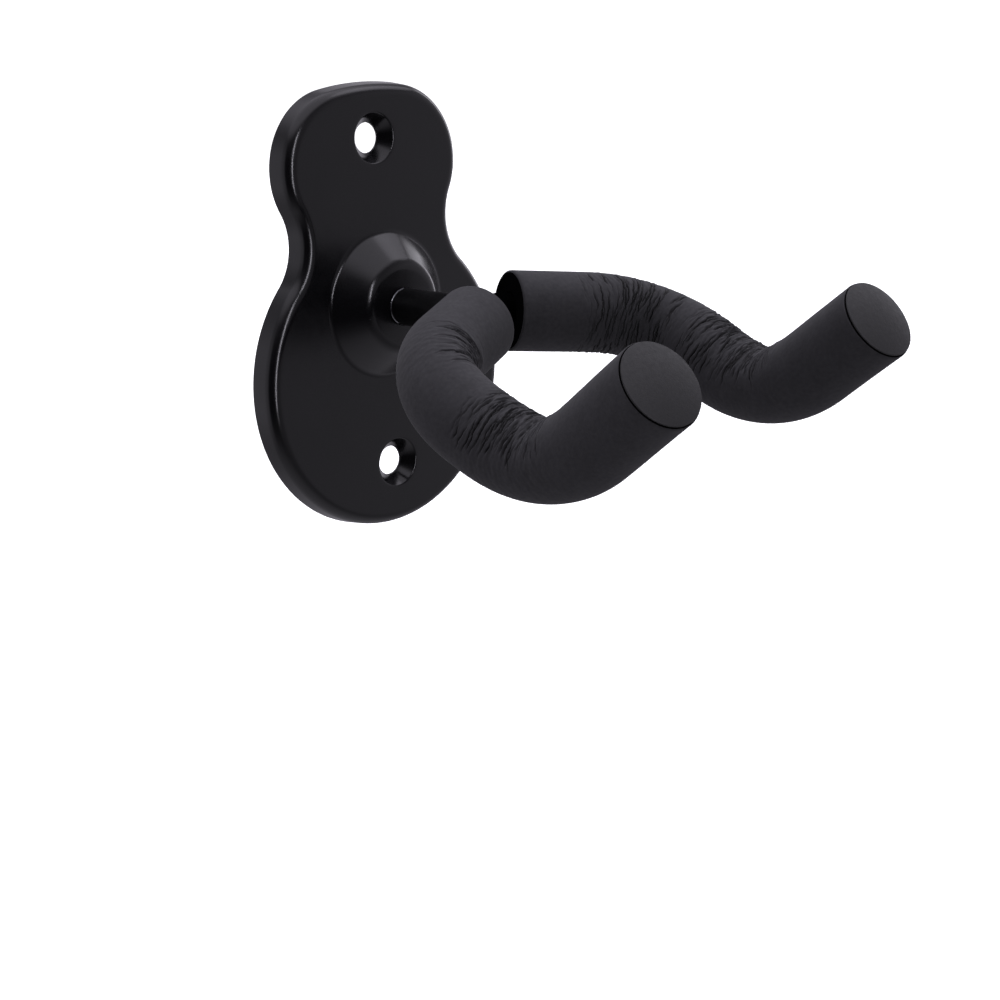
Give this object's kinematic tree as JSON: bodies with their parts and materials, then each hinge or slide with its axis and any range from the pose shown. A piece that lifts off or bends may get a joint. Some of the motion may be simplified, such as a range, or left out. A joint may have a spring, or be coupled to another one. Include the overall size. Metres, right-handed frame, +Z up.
{
  "type": "wall guitar hanger",
  "caption": "Wall-mounted guitar hanger: guitar-shaped pressed steel plate with a domed centre and a swivelling yoke with two foam-covered, upturned arms.",
  "frame": {"origin": "point where the yoke's swivel axis meets the wall, in the plane of the wall", "axes": "+Z up, +Y into the wall; the arms reach out along -Y, and +X is to the right as seen from the room"},
  "size_m": [0.09, 0.1275, 0.1048],
  "materials": {
    "plate_paint": "semi-gloss black baked paint on pressed steel",
    "rod_paint": "satin black paint on steel rod",
    "zinc_steel": "bright zinc plate",
    "spring_steel": "plain spring steel",
    "nylon": "natural nylon",
    "foam": "matte black closed-cell foam rubber with fine creases at the bends",
    "cap_foam": "matte black dense foam rubber"
  },
  "bodies": {
    "plate": {"wall_plate": "plate_paint", "stem_bush": "zinc_steel", "thrust_washer": "zinc_steel"},
    "yoke": {"stem": "rod_paint", "weld_bead": "rod_paint", "yoke_rod": "rod_paint", "foam_sleeve_left": "foam", "foam_sleeve_right": "foam", "end_cap_left": "cap_foam", "end_cap_right": "cap_foam", "lock_nut": "zinc_steel", "nut_insert": "nylon", "wave_washer": "spring_steel"}
  },
  "joints": [
    {"name": "yoke_swivel", "type": "hinge", "parent": "plate", "child": "yoke", "pos_m": [0, 0, 0], "axis": [0, -1, 0], "continuous": true}
  ]
}
